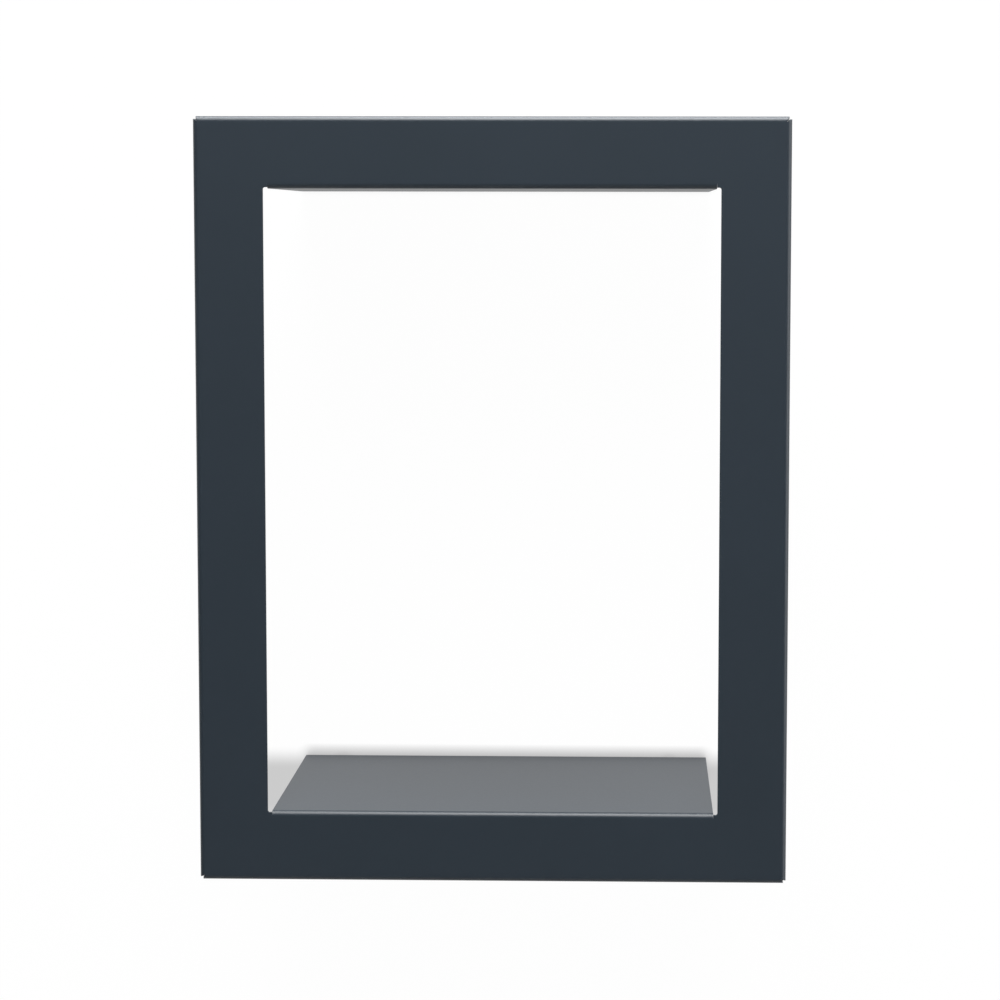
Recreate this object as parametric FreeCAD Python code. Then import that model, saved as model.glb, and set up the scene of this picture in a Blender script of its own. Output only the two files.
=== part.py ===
import FreeCAD, Part
import math
import os

os.makedirs("parts", exist_ok=True)
V = FreeCAD.Vector

# Driving dimensions in mm: front faces -Y, the wall is the plane y = 0, +Z is up
WIDTH = 310.0  # outside of the border
HEIGHT = 402.0
DEPTH = 150.0  # front face to wall
SIDE_BORDER = 36.3  # outside edge to opening, left and right
LEVEL_BORDER = 37.3  # outside edge to a flap's face, above and below
SHEET = 1.2  # steel sheet
INSIDE_RADIUS = 1.5  # inside of every bend
RETURN_DEPTH = 20.0  # outer edges folded back
RELIEF_WIDTH = 2.1  # slot between a flap's end and the border
RELIEF_OVERRUN = 0.7  # how far that slot runs past the flap's plane
FLANGE_CORNER_RADIUS = 3.0  # free corners of the rear flanges
KEYHOLE_INSET = 21.6  # flap's end to keyhole
KEYHOLE_RISE = 6.0  # entry centre to hanging centre
KEYHOLE_LAND = 1.0  # flat left below a keyhole's entry
SCREW_DIAMETER = 4.0
SCREW_TIP = 5.0
SCREW_PAST_PLUG = 5.5
HEAD_DIAMETER = 7.5
HEAD_HEIGHT = 2.6
HEAD_RIM = 1.0  # straight side of the head, below its bevel
HEAD_BEVEL = 1.3
PLUG_LENGTH = 30.0
PLUG_WALL = 1.2
PLUG_SET_BACK = 3.0  # plug pushed in past the plaster skin
PLUG_COLLAR = 7.0  # unslit length at the mouth
PLUG_SLIT = 1.0
PLUG_NOSE = 6.0  # tapered length at the tip
NOSE_TAPER = 0.6

# Clearances
SEAM_GAP = 0.2  # between two returns at an outer corner
HEAD_CLEARANCE = 0.4  # screw head in the keyhole's entry
SHANK_CLEARANCE = 0.3  # screw shank in the keyhole's slot
HEAD_STAND_OFF = 0.3  # head to flange, so the shelf can be hung
BORE_CLEARANCE = 0.3  # screw in plug

# Sheet sizes that follow
BEND_RADIUS = INSIDE_RADIUS + SHEET
OPENING_X = WIDTH / 2 - SIDE_BORDER
OPENING_Z = HEIGHT / 2 - LEVEL_BORDER
FLAP_X = OPENING_X - RELIEF_WIDTH
RETURN_END = SHEET + SEAM_GAP
MITRE_GAP = SEAM_GAP * math.sqrt(0.5)  # along the border, from the corner's diagonal to a mitred bend

# Each rear flange has a flat as tall as its keyholes and the hung screw heads need, slots upwards
ENTRY_RADIUS = HEAD_DIAMETER / 2 + HEAD_CLEARANCE
SLOT_RADIUS = SCREW_DIAMETER / 2 + SHANK_CLEARANCE
FLANGE_FLAT = KEYHOLE_LAND + ENTRY_RADIUS + KEYHOLE_RISE + ENTRY_RADIUS
FLANGE_HEIGHT = BEND_RADIUS + FLANGE_FLAT
FLANGE_MIDDLE = OPENING_Z + BEND_RADIUS + FLANGE_FLAT / 2
KEYHOLE_X = FLAP_X - KEYHOLE_INSET
ENTRY_DROP = FLANGE_FLAT / 2 - KEYHOLE_LAND - ENTRY_RADIUS  # middle of the flat down to an entry

# Fixings that follow
PLUG_BORE = SCREW_DIAMETER / 2 + BORE_CLEARANCE
PLUG_RADIUS = PLUG_BORE + PLUG_WALL
SCREW_LENGTH = SHEET + HEAD_STAND_OFF + PLUG_SET_BACK + PLUG_LENGTH + SCREW_PAST_PLUG

# The origin is the middle of the four keyhole entries, so the border's middle lies above it
MIDDLE_Z = ENTRY_DROP


def unit(v):
    return v * (1 / v.Length)


# One strip of sheet whose outer surface follows a path of straight legs, bent at each corner
def folded_sheet(path, run):
    legs = [unit(b - a) for a, b in zip(path, path[1:])]
    outer = [path[0]]
    inner = [path[0] + legs[1] * SHEET]
    edges = []
    for corner, d_in, d_out in zip(path[1:], legs, legs[1:]):
        centre = corner + (d_out - d_in) * BEND_RADIUS
        to_corner = unit(d_in - d_out)
        for side, radius in ((outer, BEND_RADIUS), (inner, INSIDE_RADIUS)):
            start = centre - d_out * radius
            end = centre + d_in * radius
            if (start - side[-1]).Length > Part.Precision.confusion():
                edges.append(Part.makeLine(side[-1], start))
            edges.append(Part.Arc(start, centre + to_corner * radius, end).toShape())
            side.append(end)
    ends = (path[-1], path[-1] - legs[-2] * SHEET)
    edges += [Part.makeLine(outer[-1], ends[0]), Part.makeLine(inner[-1], ends[1])]
    edges += [Part.makeLine(outer[0], inner[0]), Part.makeLine(*ends)]
    wire = Part.Wire(Part.__sortEdges__(edges))
    return Part.Face(wire).extrude(run)


def front_plate():
    x = WIDTH / 2 - BEND_RADIUS
    z = HEIGHT / 2 - BEND_RADIUS
    corners = [V(-x, -DEPTH, -z), V(x, -DEPTH, -z), V(x, -DEPTH, z), V(-x, -DEPTH, z)]
    outline = Part.makePolygon(corners + corners[:1])
    slot_r = RELIEF_WIDTH / 2
    slot_x = OPENING_X - slot_r
    slot_end = OPENING_Z + RELIEF_OVERRUN
    slot_z = slot_end - slot_r
    half = slot_r * math.sqrt(0.5)
    bend_z = OPENING_Z + BEND_RADIUS
    edges = []
    for s in (-1, 1):
        edges.append(Part.makeLine(V(-FLAP_X, -DEPTH, s * bend_z), V(FLAP_X, -DEPTH, s * bend_z)))
        edges.append(Part.makeLine(V(s * OPENING_X, -DEPTH, -slot_z), V(s * OPENING_X, -DEPTH, slot_z)))
        for t in (-1, 1):
            bend_side = V(t * FLAP_X, -DEPTH, s * bend_z)
            flap_side = V(t * FLAP_X, -DEPTH, s * slot_end)
            arc_start = V(t * slot_x, -DEPTH, s * slot_end)
            arc_middle = V(t * (slot_x + half), -DEPTH, s * (slot_z + half))
            arc_end = V(t * OPENING_X, -DEPTH, s * slot_z)
            edges.append(Part.makeLine(bend_side, flap_side))
            edges.append(Part.makeLine(flap_side, arc_start))
            edges.append(Part.Arc(arc_start, arc_middle, arc_end).toShape())
    opening = Part.Wire(Part.__sortEdges__(edges))
    face = Part.Face(outline).cut(Part.Face(opening))
    return face.extrude(V(0, SHEET, 0))


# s is +1 for the top flap and -1 for the shelf: front bend, flat, rear bend, wall flange
def flap(s):
    path = [
        V(-FLAP_X, -DEPTH, s * (OPENING_Z + BEND_RADIUS)),
        V(-FLAP_X, -DEPTH, s * OPENING_Z),
        V(-FLAP_X, 0, s * OPENING_Z),
        V(-FLAP_X, 0, s * (OPENING_Z + FLANGE_HEIGHT)),
    ]
    body = folded_sheet(path, V(2 * FLAP_X, 0, 0))
    free = [e for e in body.Edges if is_free_corner(e, s)]
    return body.makeFillet(FLANGE_CORNER_RADIUS, free)


def is_free_corner(edge, s):
    b = edge.BoundBox
    at_end = abs(b.ZMin - s * (OPENING_Z + FLANGE_HEIGHT)) < SHEET / 2
    return at_end and b.XLength < SHEET / 2 and b.ZLength < SHEET / 2


# An outer edge's return, drawn at the top and turned to its side. Its bend is mitred against its neighbours'
# bends, and its flat stops clear of their sheet. The mitre's outline stands past the sheet all round
def edge_return(length, across, angle):
    root = across / 2 - BEND_RADIUS
    end = length / 2 - RETURN_END
    path = [
        V(-end, -DEPTH, root),
        V(-end, -DEPTH, across / 2),
        V(-end, RETURN_DEPTH - DEPTH, across / 2),
    ]
    strip = folded_sheet(path, V(2 * end, 0, 0))
    low = root - SHEET
    high = across / 2 + SHEET
    near = length / 2 - BEND_RADIUS - SHEET - MITRE_GAP
    far = length / 2 + SHEET - MITRE_GAP
    front = -DEPTH - SHEET
    corners = [V(-near, front, low), V(near, front, low), V(far, front, high), V(-far, front, high)]
    outline = Part.makePolygon(corners + corners[:1])
    mitre = Part.Face(outline).extrude(V(0, RETURN_DEPTH + 2 * SHEET, 0))
    return strip.common(mitre).rotate(V(0, 0, 0), V(0, 1, 0), angle)


def entry_z(s):
    return s * FLANGE_MIDDLE - ENTRY_DROP


def keyhole(x, z):
    start = -2 * SHEET
    length = 3 * SHEET
    entry = Part.makeCylinder(ENTRY_RADIUS, length, V(x, start, z), V(0, 1, 0))
    seat = Part.makeCylinder(SLOT_RADIUS, length, V(x, start, z + KEYHOLE_RISE), V(0, 1, 0))
    slot = Part.makeBox(2 * SLOT_RADIUS, length, KEYHOLE_RISE, V(x - SLOT_RADIUS, start, z))
    return entry.fuse([seat, slot]).removeSplitter()


def folded_body():
    bent = [flap(s) for s in (-1, 1)]
    bent += [edge_return(WIDTH, HEIGHT, angle) for angle in (0, 180)]
    bent += [edge_return(HEIGHT, WIDTH, angle) for angle in (90, 270)]
    body = front_plate().fuse(bent)
    holes = [keyhole(sx * KEYHOLE_X, entry_z(sz)) for sx in (-1, 1) for sz in (-1, 1)]
    return body.cut(holes).removeSplitter().Solids[0]


def turned(profile):
    wire = Part.makePolygon(profile + profile[:1])
    return Part.Face(wire).revolve(V(0, 0, 0), V(0, 1, 0), 360)


# Screw with the underside of its head at the origin, pointing +Y
def screw():
    r = SCREW_DIAMETER / 2
    head_r = HEAD_DIAMETER / 2
    return turned([
        V(0, -HEAD_HEIGHT, 0),
        V(head_r - HEAD_BEVEL, -HEAD_HEIGHT, 0),
        V(head_r, -HEAD_RIM, 0),
        V(head_r, 0, 0),
        V(r, 0, 0),
        V(r, SCREW_LENGTH - SCREW_TIP, 0),
        V(0, SCREW_LENGTH, 0),
    ])


# Plug with its mouth at the origin, pointing +Y: collar, four slit fingers, tapered nose
def plug():
    tube = turned([
        V(PLUG_BORE, 0, 0),
        V(PLUG_RADIUS, 0, 0),
        V(PLUG_RADIUS, PLUG_LENGTH - PLUG_NOSE, 0),
        V(PLUG_RADIUS - NOSE_TAPER, PLUG_LENGTH, 0),
        V(PLUG_BORE, PLUG_LENGTH, 0),
    ])
    corner = V(-PLUG_RADIUS, PLUG_COLLAR, -PLUG_SLIT / 2)
    slits = []
    for angle in (45, 135):
        slit = Part.makeBox(2 * PLUG_RADIUS, PLUG_LENGTH, PLUG_SLIT, corner)
        slits.append(slit.rotate(V(0, 0, 0), V(0, 1, 0), angle))
    return tube.cut(slits).Solids[0]


def hand_in(shape, name, at):
    shape.translated(at + V(0, 0, MIDDLE_Z)).exportStep("parts/" + name + ".step")


hand_in(folded_body(), "folded_body", V(0, 0, 0))
for level, sz in (("top", 1), ("bottom", -1)):
    for side, sx in (("left", -1), ("right", 1)):
        hung_z = entry_z(sz) + KEYHOLE_RISE
        hand_in(screw(), f"screw_{level}_{side}", V(sx * KEYHOLE_X, -SHEET - HEAD_STAND_OFF, hung_z))
        hand_in(plug(), f"plug_{level}_{side}", V(sx * KEYHOLE_X, PLUG_SET_BACK, hung_z))
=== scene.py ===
import math
import bpy
import numpy as np
from mathutils import Matrix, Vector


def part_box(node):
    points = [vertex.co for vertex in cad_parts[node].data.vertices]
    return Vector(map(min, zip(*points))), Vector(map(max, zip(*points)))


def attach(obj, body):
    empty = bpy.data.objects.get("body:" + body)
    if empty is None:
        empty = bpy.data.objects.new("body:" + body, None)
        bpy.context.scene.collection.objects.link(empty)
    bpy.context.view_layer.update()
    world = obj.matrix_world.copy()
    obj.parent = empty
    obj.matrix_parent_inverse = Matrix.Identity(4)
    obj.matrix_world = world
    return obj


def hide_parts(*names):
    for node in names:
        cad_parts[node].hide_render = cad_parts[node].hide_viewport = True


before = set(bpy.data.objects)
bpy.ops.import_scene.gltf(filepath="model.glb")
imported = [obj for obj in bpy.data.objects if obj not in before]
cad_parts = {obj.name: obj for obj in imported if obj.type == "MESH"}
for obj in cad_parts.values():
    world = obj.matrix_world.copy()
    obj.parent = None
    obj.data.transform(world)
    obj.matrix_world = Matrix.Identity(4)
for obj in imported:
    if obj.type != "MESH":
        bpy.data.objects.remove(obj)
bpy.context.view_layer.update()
mm = 0.001
print("frame loaded,", len(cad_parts), "nodes")


# sRGB hex to linear: each channel is (c + 0.055) / 1.055 to the power 2.4, or c / 12.92 near black
def hexColour(text):
    c = np.array([int(text[i:i + 2], 16) for i in (0, 2, 4)]) / 255
    linear = np.where(c <= 0.04045, c / 12.92, ((c + 0.055) / 1.055) ** 2.4)
    return (*linear.tolist(), 1.0)


# Adds one node: settings go on the node, values on its inputs, and links come from other nodes' sockets
def addNode(tree, kind, settings=None, values=None, links=None):
    node = tree.nodes.new(kind)
    for key, value in (settings or {}).items():
        setattr(node, key, value)
    for key, value in (values or {}).items():
        node.inputs[key].default_value = value
    for key, socket in (links or {}).items():
        tree.links.new(socket, node.inputs[key])
    return node


mixSocket = {"share": 0, "first": 6, "second": 7, "colour": 2}  # a colour mix's three inputs and its output


def newMaterial(name):
    material = bpy.data.materials.new(name)
    material.use_nodes = True
    material.node_tree.nodes.clear()
    return material, material.node_tree


def newPiece(name, mesh, material):
    piece = bpy.data.objects.new(name, mesh)
    bpy.context.scene.collection.objects.link(piece)
    mesh.materials.append(material)
    return piece


# Satin polyester powder coat, sprayed dry on steel and baked: an even blue-black grey with a soft gloss,
# a low orange peel from the melt and a fine grain of powder that breaks up the reflections
powderLook = {
    "colour": "1e2830",
    "flowColour": "212b34",  # where the melt lay thicker
    "roughness": (0.38, 0.46),
    "ior": 1.5,
    "peelSize": 2.2 * mm,
    "peelHeight": 0.02 * mm,
    "grainSize": 0.5 * mm,  # near 0.1 mm on the real coat, drawn coarser so that it shows close up
    "grainHeight": 0.006 * mm,
    "flowSize": 60 * mm,
}


def powderCoat():
    look = powderLook
    material, tree = newMaterial("satinPowderCoat")
    place = addNode(tree, "ShaderNodeTexCoord").outputs["Object"]
    peel = addNode(tree, "ShaderNodeTexNoise", None,
                   {"Scale": 1 / look["peelSize"], "Detail": 1.0}, {"Vector": place})
    grain = addNode(tree, "ShaderNodeTexNoise", None,
                    {"Scale": 1 / look["grainSize"], "Detail": 2.0}, {"Vector": place})
    flow = addNode(tree, "ShaderNodeTexNoise", None,
                   {"Scale": 1 / look["flowSize"], "Detail": 3.0}, {"Vector": place})
    tint = addNode(tree, "ShaderNodeMix", {"data_type": "RGBA"},
                   {mixSocket["first"]: hexColour(look["colour"]),
                    mixSocket["second"]: hexColour(look["flowColour"])},
                   {mixSocket["share"]: flow.outputs["Fac"]})
    rough = addNode(tree, "ShaderNodeMapRange", None,
                    {"To Min": look["roughness"][0], "To Max": look["roughness"][1]},
                    {"Value": grain.outputs["Fac"]})
    peelBump = addNode(tree, "ShaderNodeBump", None, {"Distance": look["peelHeight"]},
                       {"Height": peel.outputs["Fac"]})
    grainBump = addNode(tree, "ShaderNodeBump", None, {"Distance": look["grainHeight"]},
                        {"Height": grain.outputs["Fac"], "Normal": peelBump.outputs["Normal"]})
    coat = addNode(tree, "ShaderNodeBsdfPrincipled", None, {"IOR": look["ior"]},
                   {"Base Color": tint.outputs[mixSocket["colour"]], "Roughness": rough.outputs["Result"],
                    "Normal": grainBump.outputs["Normal"]})
    addNode(tree, "ShaderNodeOutputMaterial", None, None, {"Surface": coat.outputs["BSDF"]})
    return material


# Bright zinc on a rolled steel screw: a cool, slightly cloudy mirror with fine scratches
zincLook = {
    "colour": "c6c9cc",
    "cloudColour": "b4b6b2",
    "roughness": (0.22, 0.38),
    "cloudSize": 1.6 * mm,
    "scratchSize": 0.25 * mm,
    "scratchHeight": 0.002 * mm,
}


def zincPlate():
    look = zincLook
    material, tree = newMaterial("brightZincPlate")
    place = addNode(tree, "ShaderNodeTexCoord").outputs["Object"]
    cloud = addNode(tree, "ShaderNodeTexNoise", None,
                    {"Scale": 1 / look["cloudSize"], "Detail": 3.0}, {"Vector": place})
    fine = addNode(tree, "ShaderNodeTexNoise", None,
                   {"Scale": 1 / look["scratchSize"], "Detail": 1.0}, {"Vector": place})
    tint = addNode(tree, "ShaderNodeMix", {"data_type": "RGBA"},
                   {mixSocket["first"]: hexColour(look["colour"]),
                    mixSocket["second"]: hexColour(look["cloudColour"])},
                   {mixSocket["share"]: cloud.outputs["Fac"]})
    rough = addNode(tree, "ShaderNodeMapRange", None,
                    {"To Min": look["roughness"][0], "To Max": look["roughness"][1]},
                    {"Value": cloud.outputs["Fac"]})
    bump = addNode(tree, "ShaderNodeBump", None, {"Distance": look["scratchHeight"]},
                   {"Height": fine.outputs["Fac"]})
    metal = addNode(tree, "ShaderNodeBsdfPrincipled", None, {"Metallic": 1.0},
                    {"Base Color": tint.outputs[mixSocket["colour"]], "Roughness": rough.outputs["Result"],
                     "Normal": bump.outputs["Normal"]})
    addNode(tree, "ShaderNodeOutputMaterial", None, None, {"Surface": metal.outputs["BSDF"]})
    return material


# Injection-moulded grey polyamide: waxy, half matt, with the fine spark grain of its mould
nylonLook = {
    "colour": "9a9c9b",
    "deepColour": "8b8d8d",
    "roughness": (0.42, 0.55),
    "ior": 1.53,
    "mottleSize": 3.0 * mm,
    "sparkSize": 0.3 * mm,
    "sparkHeight": 0.006 * mm,
}


def mouldedNylon():
    look = nylonLook
    material, tree = newMaterial("mouldedNylon")
    place = addNode(tree, "ShaderNodeTexCoord").outputs["Object"]
    mottle = addNode(tree, "ShaderNodeTexNoise", None,
                     {"Scale": 1 / look["mottleSize"], "Detail": 2.0}, {"Vector": place})
    spark = addNode(tree, "ShaderNodeTexNoise", None,
                    {"Scale": 1 / look["sparkSize"], "Detail": 2.0}, {"Vector": place})
    tint = addNode(tree, "ShaderNodeMix", {"data_type": "RGBA"},
                   {mixSocket["first"]: hexColour(look["colour"]),
                    mixSocket["second"]: hexColour(look["deepColour"])},
                   {mixSocket["share"]: mottle.outputs["Fac"]})
    rough = addNode(tree, "ShaderNodeMapRange", None,
                    {"To Min": look["roughness"][0], "To Max": look["roughness"][1]},
                    {"Value": spark.outputs["Fac"]})
    bump = addNode(tree, "ShaderNodeBump", None, {"Distance": look["sparkHeight"]},
                   {"Height": spark.outputs["Fac"]})
    plastic = addNode(tree, "ShaderNodeBsdfPrincipled", None, {"IOR": look["ior"]},
                      {"Base Color": tint.outputs[mixSocket["colour"]], "Roughness": rough.outputs["Result"],
                       "Normal": bump.outputs["Normal"]})
    addNode(tree, "ShaderNodeOutputMaterial", None, None, {"Surface": plastic.outputs["BSDF"]})
    return material


smoothUnder = {"cutEdge": 35, "fixing": 38}  # degrees between faces that are still shaded as one surface


# A skin is a sheet's outer face in patches that meet at shared places
def newSkin():
    return {"places": [], "normals": [], "faces": [], "count": 0}


# Adds a patch; its faces are turned together so that they look the way its normals do
def addPatch(skin, places, normals, faces):
    first = places[faces[0]] - places[faces[0]].mean(0)
    area = np.cross(first, np.roll(first, -1, 0)).sum(0)
    step = 1 if area @ normals[faces[0][0]] > 0 else -1
    skin["faces"] += [np.asarray(f)[::step] + skin["count"] for f in faces]
    skin["places"].append(places)
    skin["normals"].append(normals)
    skin["count"] += len(places)


# Patches become one skin: places that round to the same step, a ten-thousandth of a mm, are one vertex
def weldSkin(skin, step=1e-7):
    places = np.concatenate(skin["places"])
    normals = np.concatenate(skin["normals"])
    keys = np.round(places / step).astype(np.int64)
    first, where = np.unique(keys, axis=0, return_index=True, return_inverse=True)[1:]
    where = where.ravel()
    return places[first], normals[first], [where[f] for f in skin["faces"]]


# Corner numbers of the quads between neighbouring rows and columns, round to the first column if closed
def gridFaces(rows, columns, closed=False):
    across = np.arange(columns if closed else columns - 1)
    row, column = np.meshgrid(np.arange(rows - 1), across, indexing="ij")
    after = (column + 1) % columns
    corners = [row * columns + column, row * columns + after,
               (row + 1) * columns + after, (row + 1) * columns + column]
    return np.stack(corners, -1).reshape(-1, 4)


def unitRows(v):
    return v / np.linalg.norm(v, axis=-1, keepdims=True)


# Gives a skin its thickness and a rounded cut edge, each one number or one for every place. At angle a round
# the edge, place = edge + outward * r * (sin a - 1) - normal * r * (1 - cos a), and again from the inner face
def closeSkin(places, normals, faces, thick, r, steps):
    n = len(places)
    thick = np.broadcast_to(np.asarray(thick, float), (n,))
    r = np.broadcast_to(np.asarray(r, float), (n,))
    heads = np.concatenate(faces)
    tails = np.concatenate([np.roll(f, -1) for f in faces])
    free = ~np.isin(heads * n + tails, tails * n + heads)
    a, b = heads[free], tails[free]  # free edges, skin on their left
    edge = np.unique(a)
    rank = np.full(n, -1)
    rank[edge] = np.arange(len(edge))
    along = unitRows(places[b] - places[a])
    out = np.empty((len(edge), 3))
    into = np.empty((len(edge), 3))
    out[rank[a]] = unitRows(np.cross(along, normals[a]))
    into[rank[b]] = unitRows(np.cross(along, normals[b]))
    cosine = (into * out).sum(1, keepdims=True)
    mitre = (into + out) / (1 + cosine)
    soft = cosine > math.cos(math.radians(smoothUnder["cutEdge"]))
    mean = unitRows(into + out)
    out, into = np.where(soft, mean, out), np.where(soft, mean, into)
    turn = np.linspace(0, math.pi / 2, steps + 1)[:, None]
    shift = r[edge] * np.concatenate([np.sin(turn) - 1, np.sin(turn[::-1]) - 1])
    drop = r[edge] * (1 - np.cos(turn))
    drop = np.concatenate([drop, thick[edge] - drop[::-1]])
    rows = places[edge] + mitre * shift[..., None] - normals[edge] * drop[..., None]
    outer, inner = places.copy(), places - normals * thick[:, None]
    outer[edge], inner[edge] = rows[0], rows[-1]
    between = rows[1:-1].reshape(-1, 3)
    betweenIndex = 2 * n + np.arange(len(between)).reshape(-1, len(edge))
    index = np.concatenate([edge[None], betweenIndex, edge[None] + n])
    downA, downB = index[:, rank[a]], index[:, rank[b]]  # from the outer face to the inner one
    rim = np.stack([downB[:-1], downA[:-1], downA[1:], downB[1:]], -1)
    lift = np.concatenate([np.cos(turn), -np.cos(turn[::-1])])[..., None]
    lean = np.concatenate([np.sin(turn), np.sin(turn[::-1])])[..., None]
    rimA = lift * normals[a] + lean * out[rank[a]]
    rimB = lift * normals[b] + lean * into[rank[b]]
    rimNormals = np.stack([rimB[:-1], rimA[:-1], rimA[1:], rimB[1:]], -2)
    allFaces = list(faces) + [f[::-1] + n for f in faces] + list(rim.reshape(-1, 4))
    backs = np.concatenate([f[::-1] for f in faces])
    loopNormals = np.concatenate([normals[heads], -normals[backs], rimNormals.reshape(-1, 3)])
    return np.concatenate([outer, inner, between]), allFaces, loopNormals


def meshOf(name, places, faces):
    mesh = bpy.data.meshes.new(name)
    mesh.from_pydata(places, [], [np.asarray(f).tolist() for f in faces])
    mesh.shade_smooth()
    return mesh


# The folded body: one steel sheet. Its border's outer edges are folded back, and the opening's cut-out is
# folded back above and below as two flaps, each folded again against the wall
sheetShape = {
    "thick": 1.2 * mm,
    "bendRadius": 2.7 * mm,  # outside of every bend
    "bendSteps": 14,
    "sideBorder": 36.3 * mm,
    "levelBorder": 37.3 * mm,  # outside edge to the face of the top flap or shelf
    "returnDepth": 20 * mm,
    "returnGap": 1.4 * mm,  # end of a return's flat to the outside of the next return
    "slotWidth": 2.1 * mm,  # between a flap's end and the border
    "slotPast": 0.7 * mm,  # how far the slot runs past the flap
    "slotSteps": 8,
    "tear": 0.06 * mm,  # where border and bend part beyond the slot
    "flangeTall": 18 * mm,
    "flangeCorner": 3 * mm,
    "cornerSteps": 8,
    "keyholeX": 95 * mm,
    "entryZ": 174.05 * mm,  # keyhole entries lie this far above and below the origin
    "entryRadius": 4.15 * mm,
    "hangRadius": 2.3 * mm,
    "rise": 6 * mm,  # entry centre to hanging centre
    "holeSteps": 24,
    "edgeRound": 0.25 * mm,  # cut edge under its coat
    "mitreRound": 0.1 * mm,  # where two returns meet
    "tearRound": 0.02 * mm,
    "edgeSteps": 3,
}


# Line of a fold seen from its end: every corner of the path becomes a quarter circle,
# place = centre + radius * normal, while the normal turns from one leg's face to the next one's.
# The line stops at the last bend's end, or runs on to the path's end
def foldLine(path, radius, steps, toEnd=False):
    path = np.array(path, float)
    legs = unitRows(np.diff(path, axis=0))
    turn = np.linspace(0, math.pi / 2, steps + 1)[:, None]
    places, normals = [], []
    for corner, into, out in zip(path[1:-1], legs, legs[1:]):
        normal = into * np.sin(turn) - out * np.cos(turn)
        places.append(corner + (out - into) * radius + normal * radius)
        normals.append(normal)
    if toEnd:
        places.append(path[-1:])
        normals.append(normal[-1:])
    return np.concatenate(places), np.concatenate(normals)


# A fold line carried across the sheet: place = line(row) + run * station(column), or station(row, column)
def addStrip(skin, line, normals, run, stations):
    places = line[:, None] + np.asarray(run) * np.asarray(stations)[..., None]
    spread = np.broadcast_to(normals[:, None], places.shape)
    addPatch(skin, places.reshape(-1, 3), spread.reshape(-1, 3), gridFaces(*places.shape[:2]))


# One flat face with the given outline
def addFlat(skin, places, normal):
    places = np.asarray(places, float)
    normals = np.broadcast_to(np.array(normal, float), places.shape)
    addPatch(skin, places, normals, [np.arange(len(places))])


# Arc in a plane: place = centre + radius * (cos t, sin t), t in degrees from start to end
def arcPoints(centre, radius, start, end, steps):
    turn = np.radians(np.linspace(start, end, steps + 1))
    return np.asarray(centre) + radius * np.stack([np.cos(turn), np.sin(turn)], -1)


def lifted(flat, y):  # (x, z) outline to places in a plane y
    flat = np.asarray(flat, float)
    return np.column_stack([flat[:, 0], np.full(len(flat), y), flat[:, 1]])


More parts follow.
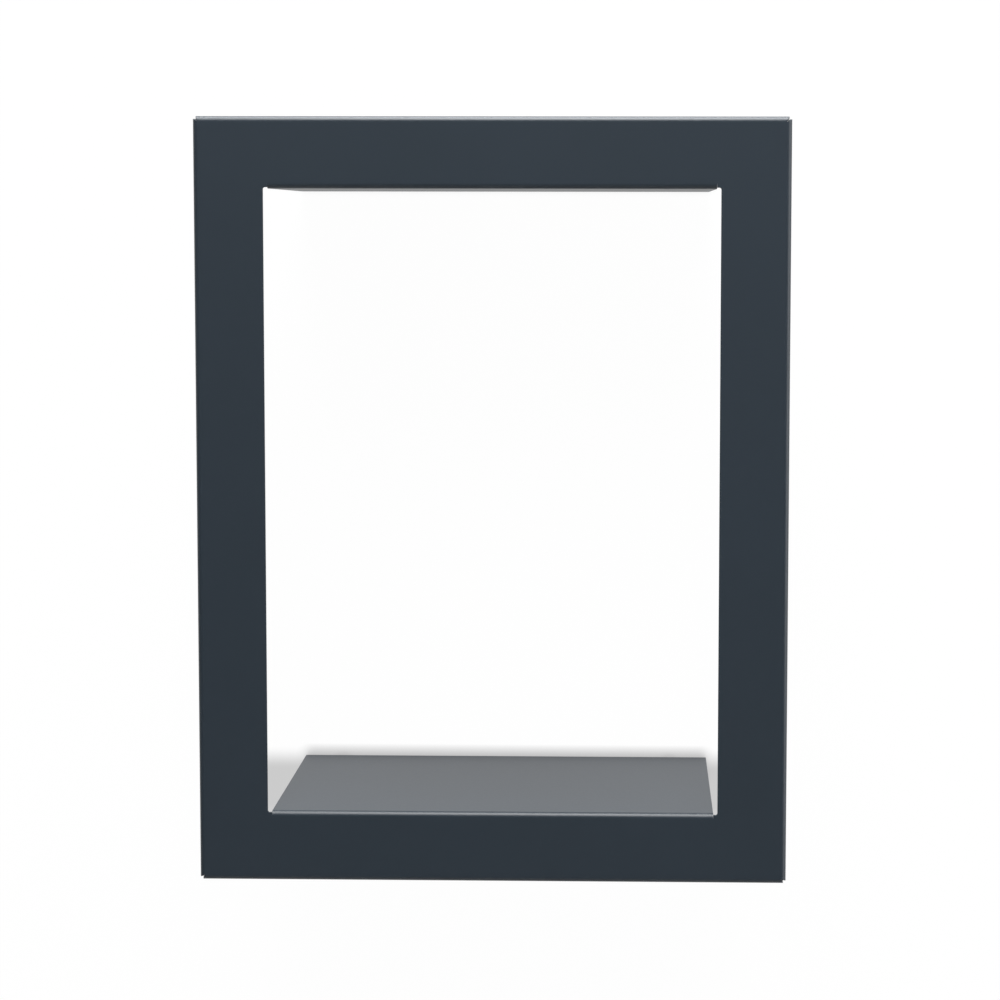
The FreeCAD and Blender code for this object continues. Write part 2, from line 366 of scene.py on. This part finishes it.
def foldedBody():
    s = sheetShape
    low, high = (np.array(v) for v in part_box("folded_body"))
    halfX = high[0]
    halfZ = (high[2] - low[2]) / 2
    midZ = (high[2] + low[2]) / 2
    front, wall = low[1], high[1]
    bend = s["bendRadius"]
    openX, openZ = halfX - s["sideBorder"], halfZ - s["levelBorder"]
    flapX = openX - s["slotWidth"]
    flapEnd = flapX - s["tear"]
    slotR = s["slotWidth"] / 2
    slotZ = openZ + s["slotPast"]
    bendZ = openZ + bend
    plateX, plateZ = halfX - bend, halfZ - bend
    keyX = s["keyholeX"]
    stations = [-flapEnd, -keyX, keyX, flapEnd]
    skin = newSkin()

    # border: four flats that meet along the mitres, drawn for one quarter and mirrored
    slotArc = arcPoints((openX - slotR, slotZ - slotR), slotR, 90, 0, s["slotSteps"])
    half = s["slotSteps"] // 2
    toFlap = np.array([(keyX, bendZ), (flapEnd, bendZ), (flapX, bendZ), (flapX, slotZ)])
    levelSide = np.concatenate([toFlap, slotArc[:half + 1], [(plateX, plateZ)]])
    level = np.concatenate([levelSide, levelSide[::-1] * (-1, 1)])
    slotSide = slotArc[half:]
    outerSide = [(plateX, -plateZ), (plateX, plateZ)]
    upright = np.concatenate([slotSide, slotSide[::-1] * (1, -1), outerSide])
    for sign in (-1, 1):
        addFlat(skin, lifted(level * (1, sign) + (0, midZ), front), (0, -1, 0))
        addFlat(skin, lifted(upright * (sign, 1) + (0, midZ), front), (0, -1, 0))

    for sign in (-1, 1):
        # top flap and shelf: front bend, flat, rear bend, seen in (y, z)
        flapZ = midZ + sign * openZ
        rootZ, freeZ = flapZ + sign * bend, flapZ + sign * s["flangeTall"]
        path = [(front, rootZ), (front, flapZ), (wall, flapZ), (wall, rootZ)]
        line, normal = foldLine(path, bend, s["bendSteps"])
        addStrip(skin, np.insert(line, 0, 0, 1), np.insert(normal, 0, 0, 1), (1, 0, 0), stations)

        # wall flange: keyholes open upwards, each split down its middle between two flats
        entry = sign * s["entryZ"]
        meet = math.degrees(math.acos(s["hangRadius"] / s["entryRadius"]))
        entryArc = arcPoints((0, entry), s["entryRadius"], -90, meet, s["holeSteps"])
        hangArc = arcPoints((0, entry + s["rise"]), s["hangRadius"], 0, 90, s["holeSteps"] // 2)
        hole = np.concatenate([entryArc, hangArc])[::-sign]
        corner = arcPoints((flapEnd - s["flangeCorner"], freeZ - sign * s["flangeCorner"]),
                           s["flangeCorner"], 0, sign * 90, s["cornerSteps"])
        root, tip = [(keyX, rootZ)], [(keyX, freeZ)]
        side = np.concatenate([root, [(flapEnd, rootZ)], corner, tip, hole + (keyX, 0)])
        inside = np.concatenate([tip, hole * (-1, 1) + (keyX, 0), root])
        middle = np.concatenate([inside, inside[::-1] * (-1, 1)])
        for outline in (side, side * (-1, 1), middle):
            addFlat(skin, lifted(outline, wall), (0, 1, 0))

        # returns: bend and flat, mitred at the corners, where they run on past the border's flat by
        # reach * sin(bend angle), so that the inner faces of two neighbours just clear each other
        back = front + s["returnDepth"]
        reach = bend - s["returnGap"]
        edgeZ = midZ + sign * halfZ
        path = [(front, edgeZ - sign * bend), (front, edgeZ), (back, edgeZ)]
        line, normal = foldLine(path, bend, s["bendSteps"], True)
        ends = plateX + reach * np.abs(normal[:, 1])
        ends = np.stack([-ends, ends], -1)
        addStrip(skin, np.insert(line, 0, 0, 1), np.insert(normal, 0, 0, 1), (1, 0, 0), ends)
        edgeX = sign * halfX
        path = [(edgeX - sign * bend, front), (edgeX, front), (edgeX, back)]
        line, normal = foldLine(path, bend, s["bendSteps"], True)
        ends = plateZ + reach * np.abs(normal[:, 0])
        ends = np.stack([-ends, ends], -1)
        addStrip(skin, np.insert(line, 2, midZ, 1), np.insert(normal, 2, 0, 1), (0, 0, 1), ends)

    # cut edges are rounded, less along the mitres and hardly at all in the tears
    places, normals, faces = weldSkin(skin)
    fromMiddle = np.abs(places - (0, front, midZ))
    inTear = (np.abs(fromMiddle[:, 0] - flapX) < 2 * s["tear"]) & (fromMiddle[:, 1] < bend)
    inTear &= fromMiddle[:, 2] > slotZ - s["tear"]
    atMitre = (fromMiddle[:, 0] > plateX - s["tear"]) & (fromMiddle[:, 2] > plateZ - s["tear"])
    edgeRound = np.where(inTear, s["tearRound"], np.where(atMitre, s["mitreRound"], s["edgeRound"]))
    places, faces, loopNormals = closeSkin(places, normals, faces, s["thick"], edgeRound, s["edgeSteps"])
    mesh = meshOf("foldedBody", places, faces)
    mesh.normals_split_custom_set(loopNormals.tolist())
    return mesh


bodyPiece = newPiece("foldedBody", foldedBody(), powderCoat())
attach(bodyPiece, "root")
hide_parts("folded_body")
print("folded body made,", len(bodyPiece.data.polygons), "faces")


fixingCorners = ("top_left", "top_right", "bottom_left", "bottom_right")  # as the nodes are named


# The wall screws: pan head with a cross recess, short plain neck, coarse rolled thread and drawn-out tip
screwShape = {
    "headTall": 2.6 * mm,
    "headSide": 0.9 * mm,  # straight side under the dome
    "domePower": 2.5,  # 2 would be an ellipse
    "domeRows": 10,
    "rimRound": 0.15 * mm,
    "crossArms": 4,
    "armAngles": (-45, -30, -20, -14.7, -7, 0, 7, 14.7, 20, 30),
    "crossReach": 2.1 * mm,
    "crossHalf": 0.55 * mm,
    "crossDeep": 1.7 * mm,
    "crossFloor": 0.74,  # floor's outline over the mouth's
    "floorRings": (0.4, 0.8, 1.0),
    "floorRise": 0.45,  # share of the depth that the floor would rise by out at the mouth
    "neck": 1.75 * mm,
    "neckLong": 3.5 * mm,
    "neckFillet": 0.3 * mm,
    "crest": 2.0 * mm,
    "core": 1.4 * mm,
    "pitch": 1.8 * mm,
    "ridgeSlope": 3.0,  # leaves a third of the pitch between two ridges
    "rowsPerTurn": 10,
    "shankFrom": 0.6 * mm,  # first row below the head
    "tipLong": 5.0 * mm,
    "tipPower": 0.8,  # 1 would be a cone
    "tipLeft": 0.1 * mm,  # last row to the point
}


# Closed surface round the Y axis from rows of radius and y: x = radius cos t, z = radius sin t,
# with a fan to one place on the axis at each end
def turnedMesh(name, axis, radius, y, angles, startY, endY):
    rows, columns = radius.shape
    grid = np.stack([axis[0] + radius * np.cos(angles), y, axis[1] + radius * np.sin(angles)], -1)
    poles = [(axis[0], startY, axis[1]), (axis[0], endY, axis[1])]
    ring = np.arange(columns)
    after = np.roll(ring, -1)
    last = (rows - 1) * columns
    start = np.stack([np.full(columns, rows * columns), ring, after], -1)
    end = np.stack([last + after, last + ring, np.full(columns, rows * columns + 1)], -1)
    faces = [*gridFaces(rows, columns, True)[:, ::-1], *start, *end]
    mesh = meshOf(name, np.concatenate([grid.reshape(-1, 3), poles]), faces)
    mesh.set_sharp_from_angle(angle=math.radians(smoothUnder["fixing"]))
    return mesh


# Cross: its edge lies at the lesser of reach / cos a and half width / sin a, with a from the arm's middle.
# Dome: y falls by tall * (1 - (r / rim)^p)^(1/p). Thread: radius = core + (crest - core) * a ridge whose
# place along Y goes round once in a pitch, fading in at the neck and drawn to a point along the tip
def screwMesh(node):
    s = screwShape
    low, high = (np.array(v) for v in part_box(node))
    axis = (low + high)[[0, 2]] / 2
    rim = (high[0] - low[0]) / 2
    under = low[1] + s["headTall"]
    arm = np.radians(np.tile(s["armAngles"], s["crossArms"]))
    armTurn = np.repeat(np.arange(s["crossArms"]), len(s["armAngles"]))
    angles = arm + armTurn * 2 * math.pi / s["crossArms"]
    sine = np.maximum(np.abs(np.sin(arm)), 1e-6)  # never quite zero
    cross = np.minimum(s["crossReach"] / np.cos(arm), s["crossHalf"] / sine)
    domeTall = s["headTall"] - s["headSide"]

    def domeY(r):
        p = s["domePower"]
        return under - s["headSide"] - domeTall * np.maximum(1 - (r / rim) ** p, 0) ** (1 / p)

    floorR = np.array(s["floorRings"])[:, None] * s["crossFloor"] * cross
    floorY = low[1] + s["crossDeep"] * (1 - s["floorRise"] * (floorR / s["crossReach"]))
    out = np.sin(np.linspace(0, math.pi / 2, s["domeRows"]))[:, None]
    domeR = cross + (rim - cross) * out
    sideR = np.array([rim, rim - s["rimRound"], s["neck"] + s["neckFillet"], s["neck"]])[:, None]
    sideY = under + np.array([-s["rimRound"], 0, 0, s["neckFillet"]])[:, None]
    rowStep = s["pitch"] / s["rowsPerTurn"]
    y = np.arange(under + s["shankFrom"], high[1] - s["tipLeft"], rowStep)[:, None]
    turn = (y / s["pitch"] - angles / (2 * math.pi)) % 1
    ridge = np.clip(1 - s["ridgeSlope"] * np.abs(turn - 0.5), 0, 1)
    grown = np.clip((y - under - s["neckLong"]) / s["pitch"], 0, 1)
    drawn = np.clip((high[1] - y) / s["tipLong"], 0, 1) ** s["tipPower"]
    shank = s["neck"] + (s["core"] - s["neck"]) * grown
    threadR = (shank + (s["crest"] - s["core"]) * ridge * grown) * drawn
    threadY = np.broadcast_to(y, threadR.shape)
    sideR, sideY = (np.broadcast_to(v, (len(v), len(angles))) for v in (sideR, sideY))
    radius = np.concatenate([floorR, domeR, sideR, threadR])
    rowY = np.concatenate([floorY, domeY(domeR), sideY, threadY])
    return turnedMesh(node, axis, radius, rowY, angles, low[1] + s["crossDeep"], high[1])


zinc = zincPlate()
for corner in fixingCorners:
    node = "screw_" + corner
    screw = newPiece("wall" + node.title().replace("_", ""), screwMesh(node), zinc)
    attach(screw, "root")
    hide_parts(node)
print("wall screws made,", len(screw.data.polygons), "faces each")


# The plugs in the wall: a tube with a whole collar, then four fingers with low barbs and a tapered nose
plugShape = {
    "bore": 2.3 * mm,  # radius
    "collar": 7.0 * mm,
    "endRows": 5,  # along the collar, and along the nose
    "slit": 1.0 * mm,
    "fingers": 4,
    "fingerSteps": 8,
    "barbs": 5,
    "barbLong": 3.0 * mm,
    "barbStep": 0.2 * mm,  # length of the steep side, which faces the collar
    "barbDrop": 0.4 * mm,
    "noseLong": 6.0 * mm,
    "noseTaper": 0.6 * mm,
    "edgeRound": 0.12 * mm,
    "edgeSteps": 2,
}


# Skin: place = axis + radius(y) * (cos t, sin t), left open where a slit passes beyond the collar.
# Each barb falls along its length and steps up again, and the nose narrows evenly
def plugMesh(node):
    s = plugShape
    low, high = (np.array(v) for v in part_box(node))
    axis = (low + high)[[0, 2]] / 2
    rim = (high[0] - low[0]) / 2
    length = high[1] - low[1]
    collar = np.linspace(0, s["collar"], s["endRows"])
    barbEnd = s["collar"] + s["barbLong"] * np.arange(1, s["barbs"] + 1)
    barb = np.stack([barbEnd - s["barbStep"], barbEnd], -1).ravel()
    nose = np.linspace(length - s["noseLong"], length, s["endRows"])
    y = np.concatenate([collar, barb, nose])
    foot = np.isin(y, barbEnd - s["barbStep"])
    narrow = np.clip((y - length) / s["noseLong"] + 1, 0, 1)
    radius = rim - s["barbDrop"] * foot - s["noseTaper"] * narrow
    gap = math.asin(s["slit"] / 2 / rim)
    half = math.pi / s["fingers"]
    finger = np.linspace(gap - half, half - gap, s["fingerSteps"] + 1)
    angles = (finger + np.arange(s["fingers"])[:, None] * 2 * half).ravel()
    outwards = np.stack([np.cos(angles), np.zeros(len(angles)), np.sin(angles)], -1)
    places = radius[:, None, None] * outwards + np.array([axis[0], low[1], axis[1]])
    places[..., 1] += y[:, None]
    normals = np.broadcast_to(outwards, places.shape)
    faces = gridFaces(len(y), len(angles), True)[:, ::-1].reshape(len(y) - 1, len(angles), 4)
    inCollar = np.arange(len(y) - 1)[:, None] < len(collar) - 1
    atSlit = np.arange(1, len(angles) + 1) % (s["fingerSteps"] + 1) == 0
    kept = list(faces[inCollar | ~atSlit])
    thick = np.repeat(radius - s["bore"], len(angles))
    places, faces = closeSkin(places.reshape(-1, 3), normals.reshape(-1, 3), kept, thick,
                              s["edgeRound"], s["edgeSteps"])[:2]
    mesh = meshOf(node, places, faces)
    mesh.set_sharp_from_angle(angle=math.radians(smoothUnder["fixing"]))
    return mesh


nylon = mouldedNylon()
for corner in fixingCorners:
    node = "plug_" + corner
    plug = newPiece("wall" + node.title().replace("_", ""), plugMesh(node), nylon)
    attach(plug, "root")
    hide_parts(node)
print("wall plugs made,", len(plug.data.polygons), "faces each")


# Stage: a white wall that the shelf hangs on, seen only from its own side, and a pale floor far below
stageShape = {
    "wallGap": 0.4 * mm,
    "wallReach": 6.0,
    "floorReach": 40.0,
    "floorDrop": 2.5,
    "wallColour": "f7f7f7",
    "wallGlow": 0.98,  # share of plain white that the camera and reflections see
    "letThrough": 1.2 * mm,  # rays this short start on the steel's own back, which rests on the wall
    "contactReach": 7 * mm,  # painted shade on the wall just above the shelf
    "contactFrom": (0.0, -0.6, -0.8),
    "contactSamples": 16,
    "contactLeast": 0.45,  # share of white left where the painted shade is deepest
    "shadowTop": (-156 * mm, -170 * mm),  # painted soft shadow where the lower border would shade the wall: from its edge to its full depth
    "shadowFoot": (-215 * mm, -190 * mm),
    "shadowSide": (165 * mm, 140 * mm),
    "shadowLeast": 0.6,
    "floorColour": "d6d6d4",
}


def stagePlane(name, corners, material):
    mesh = bpy.data.meshes.new(name)
    mesh.from_pydata(corners, [], [(0, 1, 2, 3)])
    newPiece(name, mesh, material)


# Matt emulsion paint, lit as usual but plain white to the camera and to reflections, times two painted
# shades:
# a painted contact shade by how much steel lies below and in front, and a painted soft shadow drawn from the
# place on the wall
def wallPaint():
    s = stageShape
    material, tree = newMaterial("mattWallPaint")
    paint = addNode(tree, "ShaderNodeBsdfDiffuse", None, {"Color": hexColour(s["wallColour"])})
    clear = addNode(tree, "ShaderNodeBsdfTransparent")
    facing = addNode(tree, "ShaderNodeNewGeometry")
    ray = addNode(tree, "ShaderNodeLightPath")

    # painted contact shade: ambient occlusion dims the white that the camera sees just above the shelf
    below = addNode(tree, "ShaderNodeCombineXYZ", None, dict(enumerate(s["contactFrom"])))
    contact = addNode(tree, "ShaderNodeAmbientOcclusion", {"samples": s["contactSamples"]},
                      {"Distance": s["contactReach"]}, {"Normal": below.outputs[0]})
    paintedContactShade = addNode(tree, "ShaderNodeMapRange", None, {"To Min": s["contactLeast"]},
                           {"Value": contact.outputs["AO"]})

    # painted soft shadow: a band behind and below the shelf, darkened by its place on the wall
    place = addNode(tree, "ShaderNodeSeparateXYZ", None, None, {0: facing.outputs["Position"]})
    fromMiddle = addNode(tree, "ShaderNodeMath", {"operation": "ABSOLUTE"}, None, {0: place.outputs["X"]})
    edges = (("shadowTop", place.outputs["Z"]), ("shadowFoot", place.outputs["Z"]),
             ("shadowSide", fromMiddle.outputs[0]))
    top, foot, side = (addNode(tree, "ShaderNodeMapRange", {"interpolation_type": "SMOOTHSTEP"},
                               {"From Min": s[key][0], "From Max": s[key][1]}, {"Value": socket})
                       for key, socket in edges)
    band = addNode(tree, "ShaderNodeMath", {"operation": "MULTIPLY"}, None,
                   {0: top.outputs["Result"], 1: foot.outputs["Result"]})
    deep = addNode(tree, "ShaderNodeMath", {"operation": "MULTIPLY"}, None,
                   {0: band.outputs[0], 1: side.outputs["Result"]})
    paintedSoftShadow = addNode(tree, "ShaderNodeMapRange", None, {"To Min": 1.0, "To Max": s["shadowLeast"]},
                         {"Value": deep.outputs[0]})

    # both painted shades dim the white that the camera and reflections see
    shade = addNode(tree, "ShaderNodeMath", {"operation": "MULTIPLY"}, None,
                    {0: paintedContactShade.outputs["Result"], 1: paintedSoftShadow.outputs["Result"]})
    white = addNode(tree, "ShaderNodeEmission", None, None, {"Strength": shade.outputs[0]})
    mirrored = addNode(tree, "ShaderNodeMath", {"operation": "MAXIMUM"}, None,
                       {0: ray.outputs["Is Glossy Ray"], 1: ray.outputs["Is Transmission Ray"]})
    seen = addNode(tree, "ShaderNodeMath", {"operation": "MAXIMUM"}, None,
                   {0: ray.outputs["Is Camera Ray"], 1: mirrored.outputs[0]})
    share = addNode(tree, "ShaderNodeMath", {"operation": "MULTIPLY"}, {1: s["wallGlow"]},
                    {0: seen.outputs[0]})
    bright = addNode(tree, "ShaderNodeMixShader", None, None,
                     {0: share.outputs[0], 1: paint.outputs[0], 2: white.outputs[0]})
    near = addNode(tree, "ShaderNodeMath", {"operation": "LESS_THAN"}, {1: s["letThrough"]},
                   {0: ray.outputs["Ray Length"]})
    unseen = addNode(tree, "ShaderNodeMath", {"operation": "MAXIMUM"}, None,
                     {0: facing.outputs["Backfacing"], 1: near.outputs[0]})
    wall = addNode(tree, "ShaderNodeMixShader", None, None,
                   {0: unseen.outputs[0], 1: bright.outputs[0], 2: clear.outputs[0]})
    addNode(tree, "ShaderNodeOutputMaterial", None, None, {"Surface": wall.outputs[0]})
    return material


# Matt pale floor paint, which throws a little soft light back up
def floorPaint():
    material, tree = newMaterial("paleFloorPaint")
    paint = addNode(tree, "ShaderNodeBsdfDiffuse", None, {"Color": hexColour(stageShape["floorColour"])})
    addNode(tree, "ShaderNodeOutputMaterial", None, None, {"Surface": paint.outputs[0]})
    return material


wallX, floorX = stageShape["wallReach"], stageShape["floorReach"]
wallY, floorZ = stageShape["wallGap"], -stageShape["floorDrop"]
wallCorners = [(-wallX, wallY, floorZ), (wallX, wallY, floorZ), (wallX, wallY, wallX), (-wallX, wallY, wallX)]
floorCorners = [(-floorX, -floorX, floorZ), (floorX, -floorX, floorZ),
                (floorX, floorX, floorZ), (-floorX, floorX, floorZ)]
stagePlane("wall", wallCorners, wallPaint())
stagePlane("floor", floorCorners, floorPaint())
print("stage made")


# Soft light: a long white panel overhead, from above the wall out over the camera, a weak one to the right,
# and one close to the wall above the shelf, which the upper bends mirror
lightSetup = {
    "panels": {
        "overhead": {"centre": (0.0, -1.1, 1.7), "aim": (0.0, 0.0, -1.0),
                     "size": (0.8, 2.1), "radiance": 16.0},
        "right": {"centre": (2.2, -0.9, 0.2), "aim": (-1.0, 0.4, 0.0),
                  "size": (1.3, 2.0), "radiance": 3.6},
        "above": {"centre": (0.0, -0.03, 0.85), "aim": (0.0, -1.0, -0.2),
                  "size": (0.9, 0.75), "radiance": 13.0},
    },
    "steepAim": 0.9,  # a panel aimed more up or down than this takes Y for its length, others Z
    "roomColour": "f4f7ff",
    "roomStrength": 0.31,
}


# A panel's power is radiance * pi * area
def addPanel(name, setup):
    lamp = bpy.data.lights.new(name, "AREA")
    lamp.shape = "RECTANGLE"
    lamp.size, lamp.size_y = setup["size"]
    lamp.energy = setup["radiance"] * math.pi * lamp.size * lamp.size_y
    holder = bpy.data.objects.new(name, lamp)
    forward = unitRows(np.array(setup["aim"]))
    up = (0, 1, 0) if abs(forward[2]) > lightSetup["steepAim"] else (0, 0, 1)
    right = unitRows(np.cross(forward, up))
    axes = np.column_stack([right, np.cross(right, forward), -forward])
    holder.matrix_world = Matrix.Translation(setup["centre"]) @ Matrix(axes.tolist()).to_4x4()
    bpy.context.scene.collection.objects.link(holder)


def addRoom():
    room = bpy.data.worlds.new("room")
    room.use_nodes = True
    tree = room.node_tree
    tree.nodes.clear()
    glow = addNode(tree, "ShaderNodeBackground", None, {"Color": hexColour(lightSetup["roomColour"]),
                                                        "Strength": lightSetup["roomStrength"]})
    addNode(tree, "ShaderNodeOutputWorld", None, None, {"Surface": glow.outputs[0]})
    bpy.context.scene.world = room


for name, setup in lightSetup["panels"].items():
    addPanel(name, setup)
addRoom()
bpy.context.scene.view_settings.view_transform = "Standard"
print("lights made")


# Camera: a little above and right of the middle, turned by yaw, then pitch, then roll, in degrees
cameraSetup = {
    "place": (73.9 * mm, -1531.6 * mm, 151.1 * mm),
    "pitch": -4.973,
    "roll": -0.095,
    "yaw": 1.374,
    "sensor": 36.0,
    "lens": 95.87,
    "shift": (-0.07, -0.05),
    "nearest": 0.01,
}


def addCamera():
    c = cameraSetup
    data = bpy.data.cameras.new("photoView")
    data.sensor_width = c["sensor"]
    data.lens = c["lens"]
    data.shift_x, data.shift_y = c["shift"]
    data.clip_start = c["nearest"]
    holder = bpy.data.objects.new("photoView", data)
    turn = Matrix.Rotation(math.radians(c["yaw"]), 3, "Z")
    turn = turn @ Matrix.Rotation(math.radians(c["pitch"]), 3, "X")
    turn = turn @ Matrix.Rotation(math.radians(c["roll"]), 3, "Y")
    right, forward, up = (turn.col[i] for i in range(3))
    axes = Matrix((right, up, -forward)).transposed()
    holder.matrix_world = Matrix.Translation(c["place"]) @ axes.to_4x4()
    bpy.context.scene.collection.objects.link(holder)
    bpy.context.scene.camera = holder


addCamera()
print("camera made")
